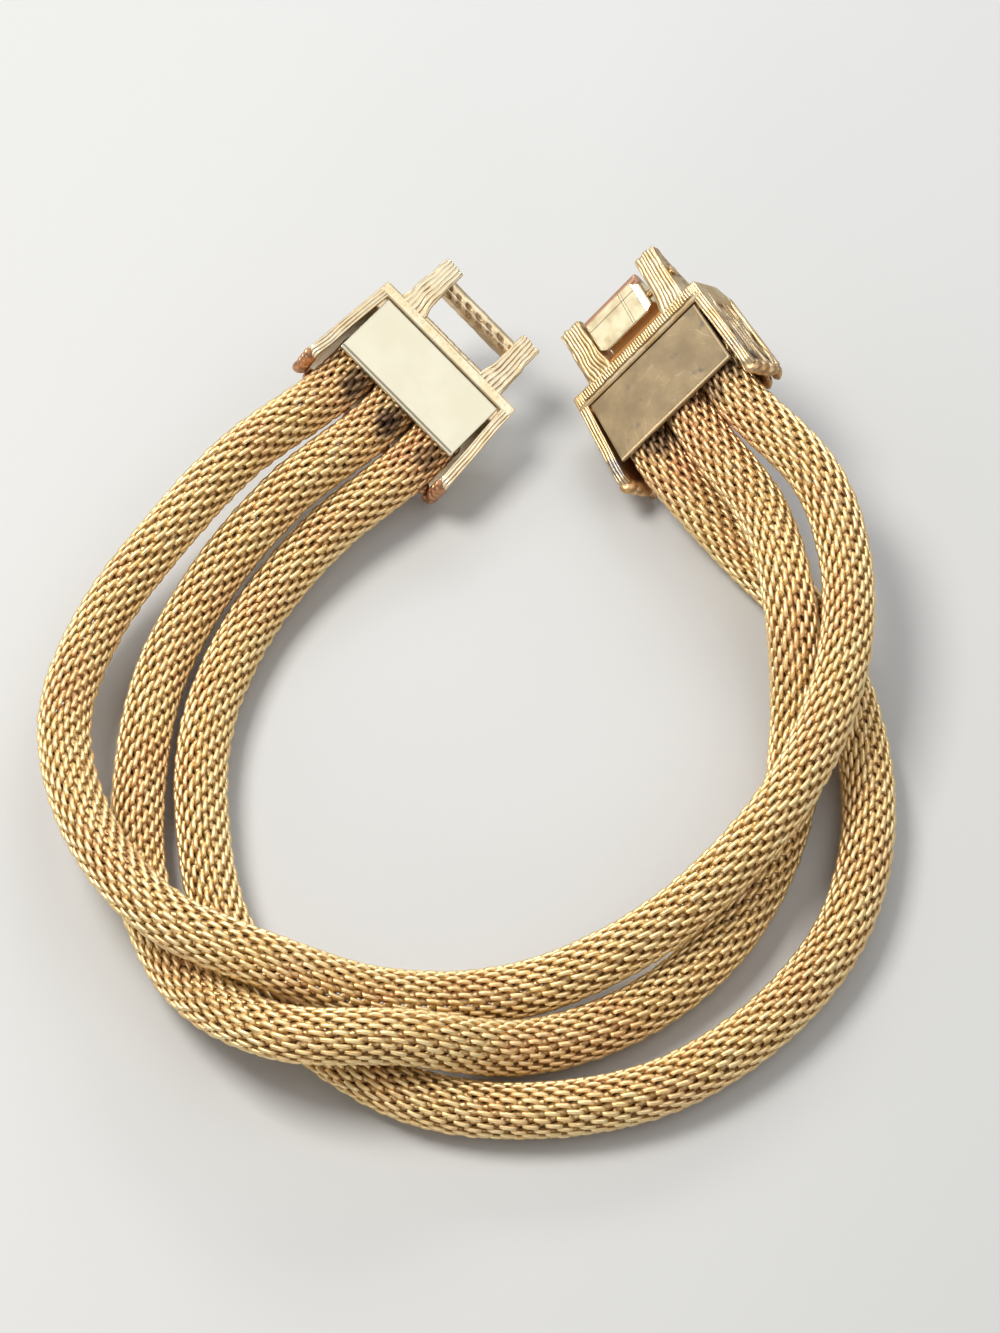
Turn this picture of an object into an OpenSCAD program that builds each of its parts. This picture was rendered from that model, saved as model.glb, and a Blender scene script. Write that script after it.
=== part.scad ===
// Three-strand tubular mesh bracelet, unclasped, lying as it was laid down.
// Millimetres, +Z up. The surface that it lies on is z = 0, under the middle of its footprint.
// Both clasp halves lie with their backs up, so their inset plates show.

/* [Strands] */
// Outside diameter of one mesh strand
strand_d = 4.75; // [4.3:0.05:4.8]
// Thickness of the woven wire wall
strand_wall = 0.9; // [0.5:0.1:1.4]
// Gap between strands that lie side by side in a clasp
strand_gap = 0.15; // [0.1:0.05:0.3]
// Length of each strand that sits inside a clasp
strand_seat = 5; // [3:0.5:6]
// Straight lead of each strand out of a mouth
strand_lead = 1.2; // [0.5:0.1:2]
// Sides of a strand's cross-section
strand_sides = 12; // [8:2:16]
// Steps along the free stretch of a strand
strand_steps = 25; // [18:1:34]

/* [Clasp boxes] */
// Depth of a box from its mouth to its arm side
box_depth = 9.8; // [9:0.1:11]
// Thickness of a box from its back to its show face
box_t = 5; // [4.6:0.1:6]
// Side wall beside the strands
side_wall = 0.8; // [0.6:0.05:1.2]
// Play between the outer strands and the side walls
side_play = 0.12; // [0.05:0.01:0.3]
// Show face of a box
face_t = 0.6; // [0.4:0.05:1]
// Thickness of the rim at the back
lip_t = 0.6; // [0.4:0.05:0.8]
// Width of the rim, seen from the back
rim_w = 1.1; // [0.9:0.05:1.6]
// Wall at the arm side
end_wall = 2.4; // [2:0.1:3]
// Slope cut from the show face at the arm side
face_slope = 1.6; // [0.8:0.1:2]
// Diameter of the beads along the mouth
bead_d = 1.5; // [1.2:0.1:1.8]
// How far each side spreads outwards at the mouth
mouth_flare = 0.65; // [0.3:0.05:0.9]
// How far the row of beads runs past each side
bead_reach = 0.2; // [0.1:0.1:0.5]
// Beads up each side of the mouth, above the row
side_beads = 3; // [1:1:3]
// Depth of the topmost side bead's middle below the back
side_bead_top = 0.8; // [0.75:0.05:1.2]
// Distance between two beads, as a share of their diameter
bead_step = 0.85; // [0.75:0.05:0.95]
// How far the middles of the beads lie in front of the mouth
bead_out = 0.4; // [0.2:0.1:0.6]
// How far the beads stand out below the show face
bead_drop = 0.15; // [0.05:0.05:0.3]

/* [Plates] */
// Depth of a plate
plate_depth = 6.5; // [6:0.1:7]
// Thickness of a plate
plate_t = 0.4; // [0.3:0.05:0.5]
// Gap round a plate
plate_gap = 0.12; // [0.08:0.01:0.2]
// How far the loop half's plate lies below the rim
loop_plate_sink = 0.05; // [0:0.01:0.1]
// How far the hook half's plate lies below the rim
hook_plate_sink = 0.1; // [0:0.01:0.12]
// Rim between the loop half's plate and its arm side
loop_plate_edge = 1.25; // [1:0.05:1.6]
// Rim between the hook half's plate and its arm side
hook_plate_edge = 1.8; // [1.4:0.05:2.2]

/* [Arms] */
// Reach of the arms beyond a box
arm_len = 5.5; // [5:0.1:6.5]
// Distance over the outsides of a pair of arms
arm_span = 12.6; // [12:0.1:13.5]
// Width of a loop arm at the box
loop_arm_w = 2.5; // [2:0.1:2.8]
// Width of a loop arm at its tip
loop_tip_w = 2.2; // [1.8:0.1:2.5]
// Thickness of a loop arm
loop_arm_t = 2.8; // [2.2:0.1:3.4]
// Reach of the metal between the loop arms, beside the box
loop_web = 0.4; // [0.2:0.1:0.6]
// Width of a hook arm at the box
hook_arm_w = 2.6; // [2.5:0.1:2.8]
// Width of a hook arm at its tip
hook_tip_w = 2.4; // [2.2:0.1:2.5]
// How far the hook arms sit off the middle of their box
hook_arm_shift = 0.35; // [0:0.05:0.5]
// Thickness of a hook arm at the box
hook_arm_t = 3.5; // [3.2:0.1:4]
// Thickness of a hook arm at its tip
hook_tip_t = 0.9; // [0.7:0.1:1.2]
// Length of a hook arm before it gets thinner
hook_arm_root = 0.4; // [0.2:0.1:1]
// Grooves along the back of an arm
arm_grooves = 6; // [3:1:8]
// Width of a groove
groove_w = 0.14; // [0.1:0.02:0.18]
// Depth of a groove
groove_depth = 0.15; // [0.1:0.05:0.25]

/* [Loop bar] */
// Depth of the window between the box and the bar
window_depth = 3.2; // [2.8:0.1:3.4]
// Width of the bar
bar_w = 1.7; // [1.4:0.1:1.8]
// Thickness of the bar
bar_t = 1.6; // [1.2:0.1:2]
// How far the bar lies below the arms
bar_drop = 0.9; // [0.5:0.1:1.2]

/* [Lever] */
// Diameter of the hinge pin
pin_d = 0.7; // [0.6:0.05:0.8]
// Running gap round the hinge pin
pin_gap = 0.08; // [0.05:0.01:0.12]
// Drop of the pin below the lever's sheet
pin_drop = 0.15; // [0.1:0.01:0.2]
// Distance of the hinge from the box
pin_reach = 2.8; // [2.7:0.1:3]
// Diameter of the pin's riveted ends
rivet_d = 1.1; // [1:0.05:1.3]
// Thickness of the riveted ends
rivet_t = 0.2; // [0.1:0.05:0.3]
// Reach of the lever from its hinge to its tail
lever_tail = 1.7; // [1.4:0.1:1.7]
// Distance of the lever's nose from the tips of the arms
nose_inset = 0.3; // [0:0.05:0.4]
// Diameter of the lever's rolled nose
nose_d = 1.2; // [1:0.1:1.4]
// Thickness of the lever's sheet
lever_t = 0.4; // [0.3:0.05:0.5]
// Depth of the lever's side flanges at the hinge
lever_flange = 1.75; // [1.6:0.05:1.9]
// Gap between the lever's tail and the arm on its closer side
lever_gap = 0.07; // [0.05:0.01:0.15]
// Gap between the lever's tail and the other arm
lever_play = 0.65; // [0.2:0.05:0.8]
// How far the lever lies below the backs of the arms
lever_sink = 0.15; // [0.1:0.05:0.2]
// Reach of the floor between the hook arms
floor_reach = 1.6; // [1.2:0.1:1.8]
// Drop of that floor below the backs of the arms, beside the box
floor_drop = 0.9; // [0.7:0.1:1.5]
// Clearance of the hollow in the floor that the lever's tail swings through
tail_clearance = 0.1; // [0.06:0.02:0.2]

/* [Hidden] */
$fn = 32;
eps = 0.01;
cut = 1;          // how far a cutter runs past the face that it cuts

// Where each half's mouth centre lies, and how the half is turned as it rests on its strands.
loop_place = [-7.7, 25.8, 9];
loop_turn = [5, 25, -39];
hook_place = [19.3, 24.4, 10];
hook_turn = [4, -45, 24];

// The free stretch of each strand, as it was laid down, from the loop half to the hook half.
outer_route = [
    [-20, 21.6, 9], [-26.1, 14.6, 7.5], [-32, 6, 5.5], [-34.4, -4, 5.5], [-31.7, -14.8, 7],
    [-25.4, -23.8, 8.5], [-16.5, -28.4, 8.5], [-6.5, -30.3, 5.5], [4, -29.2, 4], [13.5, -25.7, 5.4],
    [21.2, -19.9, 6.8], [27.7, -11.8, 8], [32, -1.5, 8.5], [33.2, 9, 9], [30.9, 18, 10.5]
];
middle_route = [
    [-15.9, 19.3, 6.5], [-22.3, 11.4, 4.5], [-26.7, 2, 3], [-28, -8.5, 2.5], [-27.2, -18.5, 2.5],
    [-22.8, -28.3, 4], [-15, -34.5, 7.5], [-5, -35, 7.5], [5, -34, 3.5], [14.3, -30.2, 2.5],
    [21.9, -23.4, 2.5], [26.8, -13.8, 2.5], [28.6, -3.5, 3.5], [28.2, 7, 7.5], [26.2, 16.5, 7.5]
];
inner_route = [
    [-12.7, 16.7, 3.5], [-18.8, 8.2, 2.5], [-22.3, -2, 2.5], [-22.4, -12.5, 2.5], [-19.8, -23, 2.5],
    [-13.5, -31.5, 2.5], [-4.5, -37.7, 2.5], [5.5, -39.2, 2.5], [16, -37.2, 2.5], [25, -31.3, 2.5],
    [31.5, -23, 2.5], [34.4, -13, 2.5], [34, -2.5, 2.5], [30.8, 7.5, 2.5], [24.2, 16.2, 2.5]
];

strand_pitch = strand_d + strand_gap;
cavity_w = 3 * strand_d + 2 * strand_gap + 2 * side_play;
box_w = cavity_w + 2 * side_wall;
cavity_h = box_t - face_t - lip_t;
cavity_depth = box_depth - end_wall;
strand_z = -lip_t - cavity_h / 2;              // height of a strand's middle in a box
strand_press = (cavity_h - 2 * side_play) / strand_d;
plate_w = box_w - 2 * rim_w - 2 * plate_gap;
loop_plate_y = box_depth - loop_plate_edge - plate_depth;
hook_plate_y = box_depth - hook_plate_edge - plate_depth;
bar_y = box_depth + window_depth;
pin_y = box_depth + pin_reach;
pin_z = -lever_sink - lever_t - pin_drop - pin_d / 2;
tail_y = pin_y - lever_tail;
tail_swing = norm([lever_tail, pin_z + lever_sink]);
nose_y = box_depth + arm_len - nose_inset - nose_d / 2;
tail_room = 2 * (hook_arm_w - hook_tip_w) * (tail_y - box_depth) / arm_len;
lever_w = arm_span - 2 * hook_arm_w + tail_room - lever_gap - lever_play;
lever_x = hook_arm_shift - (lever_play - lever_gap) / 2;
bead_span = box_w + 2 * mouth_flare + 2 * bead_reach - bead_d;
bead_count = round(bead_span / (bead_step * bead_d)) + 1;
flare_angle = atan(mouth_flare / box_depth);

// Turns and moves a point as a clasp half is turned and moved: X first, then Y, then Z.
function turn_x(p, a) = [p[0], p[1] * cos(a) - p[2] * sin(a), p[1] * sin(a) + p[2] * cos(a)];
function turn_y(p, a) = [p[0] * cos(a) + p[2] * sin(a), p[1], -p[0] * sin(a) + p[2] * cos(a)];
function turn_z(p, a) = [p[0] * cos(a) - p[1] * sin(a), p[0] * sin(a) + p[1] * cos(a), p[2]];
function turned(p, t) = turn_z(turn_y(turn_x(p, t[0]), t[1]), t[2]);

// A strand's points: its end in the loop half, its lead out of that mouth, its free stretch,
// its lead into the hook half's mouth and its end there.
function seat_point(place, turn, x, y) = place + turned([x, y, strand_z], turn);
function strand_points(free, slot) = concat(
    [seat_point(loop_place, loop_turn, slot * strand_pitch, strand_seat),
     seat_point(loop_place, loop_turn, slot * strand_pitch, -strand_lead)],
    free,
    [seat_point(hook_place, hook_turn, -slot * strand_pitch, -strand_lead),
     seat_point(hook_place, hook_turn, -slot * strand_pitch, strand_seat)]
);

// A smooth curve through points, and its direction, at position t (whole numbers fall on the points).
function held(points, i) = points[min(max(i, 0), len(points) - 1)];
function curve(points, t) =
    let (i = min(floor(t), len(points) - 2), f = t - i,
         a = held(points, i - 1), b = held(points, i), c = held(points, i + 1), d = held(points, i + 2))
    0.5 * (2 * b + (c - a) * f + (2 * a - 5 * b + 4 * c - d) * f * f + (3 * b - a - 3 * c + d) * f * f * f);
function unit(v) = v / norm(v);
function heading(points, t) =
    unit(curve(points, min(t + 0.05, len(points) - 1)) - curve(points, max(t - 0.05, 0)));
function eased(x) = let (c = min(max(x, 0), 1)) c * c * (3 - 2 * c);

// 1 inside a clasp half, falling to 0 over "reach" points of the route beyond its mouth.
function near_loop(t, reach) = 1 - eased((t - 1) / reach);
function near_hook(points, t, reach) = near_loop(len(points) - 1 - t, reach);

// One ring round the curve. Near a clasp it turns with the clasp and is pressed flatter.
function ring(points, t, r, sides) =
    let (loop_part = near_loop(t, 3), hook_part = near_hook(points, t, 3),
         up = loop_part * turned([0, 0, 1], loop_turn) + hook_part * turned([0, 0, 1], hook_turn)
              + (1 - loop_part - hook_part) * [0, 0, 1],
         ahead = heading(points, t), side = unit(cross(ahead, up)), top = cross(side, ahead),
         pressed = max(near_loop(t, 0.7), near_hook(points, t, 0.7)),
         flat = 1 - pressed * (1 - strand_press), middle = curve(points, t))
    [for (k = [0:sides - 1])
        let (a = 360 * (k + 0.5) / sides) middle + r * cos(a) * side + r * flat * sin(a) * top];

// A hollow tube swept along the points.
module strand(free, slot) {
    points = strand_points(free, slot);
    last = len(points) - 1;
    stops = concat([0], [for (i = [0:strand_steps]) 1 + i * (last - 2) / strand_steps], [last]);
    n = len(stops);
    s = strand_sides;
    outer = [for (t = stops) each ring(points, t, strand_d / 2, s)];
    inner = [for (t = stops) each ring(points, t, strand_d / 2 - strand_wall, s)];
    h = n * s;
    skin = [for (i = [0:n - 2]) for (k = [0:s - 1])
        let (a = i * s + k, b = i * s + (k + 1) % s, c = b + s, d = a + s)
        each [[a, b, c], [a, c, d], [h + a, h + c, h + b], [h + a, h + d, h + c]]];
    first_end = [for (k = [0:s - 1])
        let (a = k, b = (k + 1) % s) each [[a, h + a, h + b], [a, h + b, b]]];
    last_end = [for (k = [0:s - 1])
        let (a = h - s + k, b = h - s + (k + 1) % s) each [[a, h + b, h + a], [a, b, h + b]]];
    polyhedron(points = concat(outer, inner), faces = concat(skin, first_end, last_end));
}

// A block with X in its middle, from y0 to y1 and from z0 up to z1.
module block(w, y0, y1, z0, z1) {
    translate([-w / 2, y0, z0]) cube([w, y1 - y0, z1 - z0]);
}

// A block that is w wide at the arm side and spreads towards the mouth.
module flared(w, y0, y1, z0, z1) {
    low = w / 2 + mouth_flare * (box_depth - y0) / box_depth;
    high = w / 2 + mouth_flare * (box_depth - y1) / box_depth;
    translate([0, 0, z0]) linear_extrude(z1 - z0)
        polygon([[-low, y0], [low, y0], [high, y1], [-high, y1]]);
}

// The shared box of both halves: open at its mouth, with a window in its back for the plate.
module clasp_box(plate_y) {
    difference() {
        union() {
            flared(box_w, 0, box_depth, -box_t, 0);
            bead_rows();
        }
        flared(cavity_w, -bead_d - cut, cavity_depth, -box_t + face_t, -lip_t);
        flared(box_w - 2 * rim_w, -cut, plate_y + plate_depth + plate_gap, -lip_t - eps, cut);
        face_slope_cut();
        rim_grooves();
    }
}

// The slope where the show face meets the arm side.
module face_slope_cut() {
    translate([-box_w / 2 - cut, box_depth, -box_t])
        rotate([90, 0, 90])
        linear_extrude(box_w + 2 * cut)
        polygon([[-face_slope, -cut], [-face_slope, 0], [0, face_slope], [cut, face_slope], [cut, -cut]]);
}

// The beads round the mouth: a row along the edge of the show face, and some up each side.
module bead_rows() {
    z = -box_t - bead_drop + bead_d / 2;
    rise = (-side_bead_top - z) / side_beads;
    difference() {
        union() {
            for (i = [0:bead_count - 1]) bead(-bead_span / 2 + i * bead_span / (bead_count - 1), z);
            for (side = [-1, 1]) for (i = [1:side_beads]) bead(side * bead_span / 2, z + i * rise);
            block(bead_span, -bead_out - bead_d / 4, eps, -box_t, -box_t + face_t);
        }
        flared(cavity_w, -bead_d - cut, cut, -box_t + face_t, cut);
    }
}

module bead(x, z) {
    translate([x, -bead_out, z]) sphere(d = bead_d);
}

// Fine lines along the rim on both sides of the plate.
module rim_grooves() {
    for (side = [-1, 1]) for (i = [1:2])
        translate([side * (box_w / 2 - i * rim_w / 3), box_depth, -groove_depth])
            rotate([0, 0, side * flare_angle])
            translate([-groove_w / 2, -box_depth - cut, 0])
            cube([groove_w, box_depth + cut - loop_plate_edge, groove_depth + cut]);
}

// One arm with lines along its back. It narrows to its tip, on its outer or its inner side.
module arm(side, w, tip_w, t, outer_taper) {
    half = arm_span / 2;
    taper = w - tip_w;
    tip_out = outer_taper ? half - taper : half;
    pitch = tip_w / (arm_grooves + 1);
    mirror([side < 0 ? 1 : 0, 0, 0]) translate([0, box_depth, 0]) difference() {
        translate([0, 0, -t]) linear_extrude(t)
            polygon([[half - w, -eps], [half, -eps], [tip_out, arm_len], [tip_out - tip_w, arm_len]]);
        for (i = [1:arm_grooves])
            translate([tip_out - i * pitch - groove_w / 2, 0, -groove_depth])
                cube([groove_w, arm_len + cut, groove_depth + cut]);
    }
}

module plate(y, sink) {
    block(plate_w, y, y + plate_depth, -sink - plate_t, -sink);
}

module loop_clasp() {
    color("wheat") translate(loop_place) rotate(loop_turn) {
        clasp_box(loop_plate_y);
        for (side = [-1, 1]) arm(side, loop_arm_w, loop_tip_w, loop_arm_t, true);
        block(arm_span - loop_arm_w, box_depth - eps, box_depth + loop_web, -loop_arm_t, -groove_depth);
        block(arm_span - 2 * loop_arm_w + loop_tip_w, bar_y, bar_y + bar_w, -bar_drop - bar_t, -bar_drop);
    }
}

module loop_plate() {
    color("cornsilk") translate(loop_place) rotate(loop_turn) plate(loop_plate_y, loop_plate_sink);
}

module hook_clasp() {
    color("burlywood") translate(hook_place) rotate(hook_turn) {
        clasp_box(hook_plate_y);
        translate([hook_arm_shift, 0, 0]) difference() {
            union() {
                for (side = [-1, 1]) arm(side, hook_arm_w, hook_tip_w, hook_arm_t, false);
                arm_floor();
            }
            arm_slope_cut();
            along_pin(pin_d + 2 * pin_gap, arm_span + cut);
        }
    }
}

// The floor between the hook arms, hollowed for the lever's tail.
module arm_floor() {
    difference() {
        block(arm_span - hook_arm_w, box_depth - eps, box_depth + floor_reach, -hook_arm_t, -floor_drop);
        along_pin(2 * (tail_swing + tail_clearance), arm_span + cut);
    }
}

// The slope that thins the hook half's arms towards their tips, on the show face side.
module arm_slope_cut() {
    rise = (hook_arm_t - hook_tip_t) / (arm_len - hook_arm_root);
    root = hook_arm_root;
    reach = arm_len + cut;
    translate([-box_w / 2, box_depth, -hook_arm_t]) rotate([90, 0, 90]) linear_extrude(box_w)
        polygon([[root, 0], [reach, rise * (reach - root)], [reach, -cut], [root, -cut]]);
}

module hook_plate() {
    color("tan") translate(hook_place) rotate(hook_turn) plate(hook_plate_y, hook_plate_sink);
}

// A round bar along the hinge.
module along_pin(d, length) {
    translate([-length / 2, pin_y, pin_z]) rotate([0, 90, 0]) cylinder(d = d, h = length);
}

// The pin with its ends riveted outside the arms.
module hinge_pin() {
    color("peru") translate(hook_place) rotate(hook_turn) translate([hook_arm_shift, 0, 0]) {
        along_pin(pin_d, arm_span + 2 * pin_gap + rivet_t);
        for (side = [-1, 1])
            translate([side * (arm_span + 2 * pin_gap + rivet_t) / 2, 0, 0]) along_pin(rivet_d, rivet_t);
    }
}

// A folded sheet with a flange along each side and a rolled nose. It turns on the pin.
module lever() {
    color("khaki") translate(hook_place) rotate(hook_turn) translate([lever_x, 0, 0]) difference() {
        union() {
            block(lever_w, tail_y, nose_y, -lever_sink - lever_t, -lever_sink);
            for (side = [-1, 1]) translate([side * (lever_w - lever_t) / 2, 0, -lever_sink]) lever_side();
            translate([-lever_w / 2, nose_y, -lever_sink - nose_d / 2])
                rotate([0, 90, 0]) cylinder(d = nose_d, h = lever_w);
        }
        along_pin(pin_d + 2 * pin_gap, lever_w + cut);
    }
}

module lever_side() {
    low_end = pin_y + pin_d;
    translate([-lever_t / 2, 0, 0]) rotate([90, 0, 90]) linear_extrude(lever_t)
        polygon([[tail_y, 0], [nose_y, 0], [nose_y, -nose_d], [low_end, -lever_flange],
                 [tail_y + lever_t, -lever_flange], [tail_y, -lever_flange / 2]]);
}

module strand_outer() { color("goldenrod") strand(outer_route, -1); }
module strand_middle() { color("goldenrod") strand(middle_route, 0); }
module strand_inner() { color("goldenrod") strand(inner_route, 1); }

strand_outer();
strand_middle();
strand_inner();
loop_clasp();
loop_plate();
hook_clasp();
hook_plate();
hinge_pin();
lever();
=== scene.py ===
import math
from itertools import product

import bpy
import numpy as np
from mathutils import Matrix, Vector


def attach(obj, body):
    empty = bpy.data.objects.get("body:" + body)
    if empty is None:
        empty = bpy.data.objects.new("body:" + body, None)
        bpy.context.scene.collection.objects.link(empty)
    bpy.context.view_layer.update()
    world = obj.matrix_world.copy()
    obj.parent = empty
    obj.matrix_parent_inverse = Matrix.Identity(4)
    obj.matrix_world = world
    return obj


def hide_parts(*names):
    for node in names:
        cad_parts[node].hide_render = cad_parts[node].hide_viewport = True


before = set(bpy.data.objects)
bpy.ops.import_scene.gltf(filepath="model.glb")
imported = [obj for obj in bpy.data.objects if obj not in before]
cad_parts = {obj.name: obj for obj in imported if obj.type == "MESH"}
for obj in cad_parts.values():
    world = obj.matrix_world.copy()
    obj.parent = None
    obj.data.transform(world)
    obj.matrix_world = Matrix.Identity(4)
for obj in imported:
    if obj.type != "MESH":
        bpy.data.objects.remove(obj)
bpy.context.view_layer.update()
mm = 0.001
print("frame loaded:", len(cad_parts), "nodes")

# Camera, floor and light. Lengths are in millimetres, angles in degrees.
studio = {
    "elevation": 58.0,          # of the camera above the table
    "aim": (3.0, 5.0, 0.0),     # the point in the middle of the picture
    "distance": 318.6,
    "lens": 97.2,
    "sensor": 36.0,
    "world": (0.62, 0.66, 0.72),
    "worldStrength": 0.38,
    "floorTone": (0.57, 0.57, 0.56),
}

# Name, place, point aimed at, width, height, power in watts, colour.
lamps = [
    ("keyLamp", (-160, 60, 330), (0, 0, 0), 150, 150, 1.15, (1.0, 0.97, 0.92)),
    ("rightLamp", (195, -10, 330), (0, 20, 0), 330, 330, 0.42, (1.0, 0.98, 0.95)),
    ("backLamp", (40, 330, 200), (0, 10, 0), 260, 90, 0.5, (0.93, 0.96, 1.0)),
    ("frontLamp", (-60, -330, 120), (0, -10, 0), 160, 60, 0.15, (1.0, 0.98, 0.96)),
    ("leftLamp", (-370, 26, 120), (10, 30, 8), 300, 190, 0.20, (1.0, 0.98, 0.94)),
]


def aimed(thing, place, target, upAxis="Y"):
    thing.location = [v * mm for v in place]
    way = Vector(target) - Vector(place)
    thing.rotation_euler = way.to_track_quat("-Z", upAxis).to_euler()


def buildStudio():
    scene = bpy.context.scene
    rise = math.radians(studio["elevation"])
    aim = studio["aim"]
    back = (0.0, -math.cos(rise) * studio["distance"], math.sin(rise) * studio["distance"])
    camera = bpy.data.objects.new("camera", bpy.data.cameras.new("camera"))
    scene.collection.objects.link(camera)
    scene.view_settings.view_transform = "Standard"
    camera.location = [(a + b) * mm for a, b in zip(aim, back)]
    camera.rotation_euler = (math.pi / 2 - rise, 0, 0)
    camera.data.lens = studio["lens"]
    camera.data.sensor_width = studio["sensor"]
    camera.data.clip_start = 0.01
    camera.data.clip_end = 10
    scene.camera = camera
    for name, place, target, width, height, power, colour in lamps:
        light = bpy.data.lights.new(name, "AREA")
        light.shape = "RECTANGLE"
        light.size = width * mm
        light.size_y = height * mm
        light.energy = power
        light.color = colour
        lamp = bpy.data.objects.new(name, light)
        scene.collection.objects.link(lamp)
        aimed(lamp, place, target)
    world = bpy.data.worlds.new("softRoom")
    scene.world = world
    world.use_nodes = True
    backdrop = world.node_tree.nodes["Background"]
    backdrop.inputs["Color"].default_value = (*studio["world"], 1)
    backdrop.inputs["Strength"].default_value = studio["worldStrength"]


buildStudio()
print("camera and lamps placed")


class Signal:  # a socket of a material; sums on it add Math nodes
    def __init__(self, bench, socket):
        self.bench = bench
        self.socket = socket

    def __add__(self, other):
        return self.bench.sum("ADD", self, other)

    def __sub__(self, other):
        return self.bench.sum("SUBTRACT", self, other)

    def __rsub__(self, other):
        return self.bench.sum("SUBTRACT", other, self)

    def __mul__(self, other):
        return self.bench.sum("MULTIPLY", self, other)

    def __truediv__(self, other):
        return self.bench.sum("DIVIDE", self, other)

    def __pow__(self, other):
        return self.bench.sum("POWER", self, other)

    __radd__ = __add__
    __rmul__ = __mul__

    def held(self):
        return self.bench.sum("MULTIPLY", self, 1.0, clamp=True)

    def between(self, low, high):
        return self.bench.add("ShaderNodeMapRange", {"interpolation_type": "SMOOTHSTEP"},
                              {"Value": self, "From Min": low, "From Max": high})


class Bench:  # the node tree of one material
    def __init__(self, name):
        self.material = bpy.data.materials.new(name)
        self.material.use_nodes = True
        self.tree = self.material.node_tree
        self.tree.nodes.clear()

    def add(self, kind, settings=None, inputs=None, output=0):
        node = self.tree.nodes.new(kind)
        for key, value in (settings or {}).items():
            setattr(node, key, value)
        for key, value in (inputs or {}).items():
            if isinstance(value, Signal):
                self.tree.links.new(value.socket, node.inputs[key])
            else:
                node.inputs[key].default_value = value
        return Signal(self, node.outputs[output]) if node.outputs else None

    def sum(self, operation, first, second, clamp=False):
        return self.add("ShaderNodeMath", {"operation": operation, "use_clamp": clamp},
                        {0: first, 1: second})

    def mark(self, name, output="Fac"):
        return self.add("ShaderNodeAttribute", {"attribute_name": name}, output=output)

    def stretched(self, vector, scale):
        return self.add("ShaderNodeVectorMath", {"operation": "MULTIPLY"}, {0: vector, 1: scale})

    def noise(self, vector, scale, detail=3.0, rough=0.55):
        return self.add("ShaderNodeTexNoise", {},
                        {"Vector": vector, "Scale": scale, "Detail": detail, "Roughness": rough})

    def mixed(self, factor, first, second):
        return self.add("ShaderNodeMix", {"data_type": "RGBA"},
                        {0: factor, 6: colour(first), 7: colour(second)}, 2)

    def line(self, across, middle, wide):
        return 1 - self.sum("ABSOLUTE", across - middle, 0.0).between(wide * 0.4, wide)

    def bump(self, height, distance, strength=1.0, normal=None):
        inputs = {"Height": height, "Distance": distance * mm, "Strength": strength}
        if normal is not None:
            inputs["Normal"] = normal
        return self.add("ShaderNodeBump", {}, inputs)

    def metal(self, base, rough, normal=None, metallic=1.0):
        inputs = {"Base Color": colour(base), "Roughness": rough, "Metallic": metallic}
        if normal is not None:
            inputs["Normal"] = normal
        shader = self.add("ShaderNodeBsdfPrincipled", {}, inputs)
        self.add("ShaderNodeOutputMaterial", {}, {"Surface": shader})
        return self.material


def colour(value):
    return value if isinstance(value, Signal) else (*value[:3], 1.0)


# Smooth lumps about "size" across, from -1 to 1, for shaping meshes.
def lumps(points, size, seed):
    table = np.random.default_rng(seed).uniform(-1, 1, (24, 24, 24))
    place = np.asarray(points, float) / np.asarray(size, float)
    cell = np.floor(place).astype(int)
    part = place - cell
    part = part * part * (3 - 2 * part)
    total = 0
    for corner in product((0, 1), repeat=3):
        share = np.prod(np.where(corner, part, 1 - part), axis=-1)
        i, j, k = np.moveaxis((cell + corner) % 24, -1, 0)
        total = total + share * table[i, j, k]
    return total


def eased(x):
    held = np.clip(x, 0, 1)
    return held * held * (3 - 2 * held)


def unit(v):
    return v / np.maximum(np.linalg.norm(v, axis=-1, keepdims=True), 1e-12)


class Form:  # a closed mesh in millimetres, with named values at its points
    def __init__(self, points, faces, **marks):
        self.points = np.asarray(points, float)
        self.faces = [np.asarray(f, int) for f in (faces if isinstance(faces, list) else [faces])]
        self.marks = {k: np.broadcast_to(np.asarray(v, float), (len(self.points),)).copy()
                      for k, v in marks.items()}

    def moved(self, shift):
        self.points = self.points + np.asarray(shift, float)
        return self


def joined(forms):
    points = np.concatenate([f.points for f in forms])
    names = sorted({k for f in forms for k in f.marks})
    marks = {k: np.concatenate([f.marks.get(k, np.zeros(len(f.points))) for f in forms]) for k in names}
    faces = []
    start = 0
    for form in forms:
        faces += [f + start for f in form.faces]
        start += len(form.points)
    return Form(points, faces, **marks)


# Makes one object from a form. "place" keeps the form's own coordinates for its material.
def makePiece(name, form, material, body, replaced, turn=None, shift=(0, 0, 0), crease=40):
    local = form.points
    world = local if turn is None else local @ turn.T + np.asarray(shift, float)
    mesh = bpy.data.meshes.new(name)
    mesh.from_pydata((world * mm).tolist(), [], [f for block in form.faces for f in block.tolist()])
    for key, value in form.marks.items():
        mark = mesh.attributes.new(key, "FLOAT", "POINT")
        mark.data.foreach_set("value", value.astype(np.float32))
    spot = mesh.attributes.new("place", "FLOAT_VECTOR", "POINT")
    spot.data.foreach_set("vector", local.astype(np.float32).ravel())
    mesh.polygons.foreach_set("use_smooth", np.ones(len(mesh.polygons), bool))
    if crease < 180:
        mesh.set_sharp_from_angle(angle=math.radians(crease))
    mesh.materials.append(material)
    mesh.update()
    piece = bpy.data.objects.new(name, mesh)
    bpy.context.scene.collection.objects.link(piece)
    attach(piece, body)
    if replaced:
        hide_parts(*replaced)
    return piece


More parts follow.
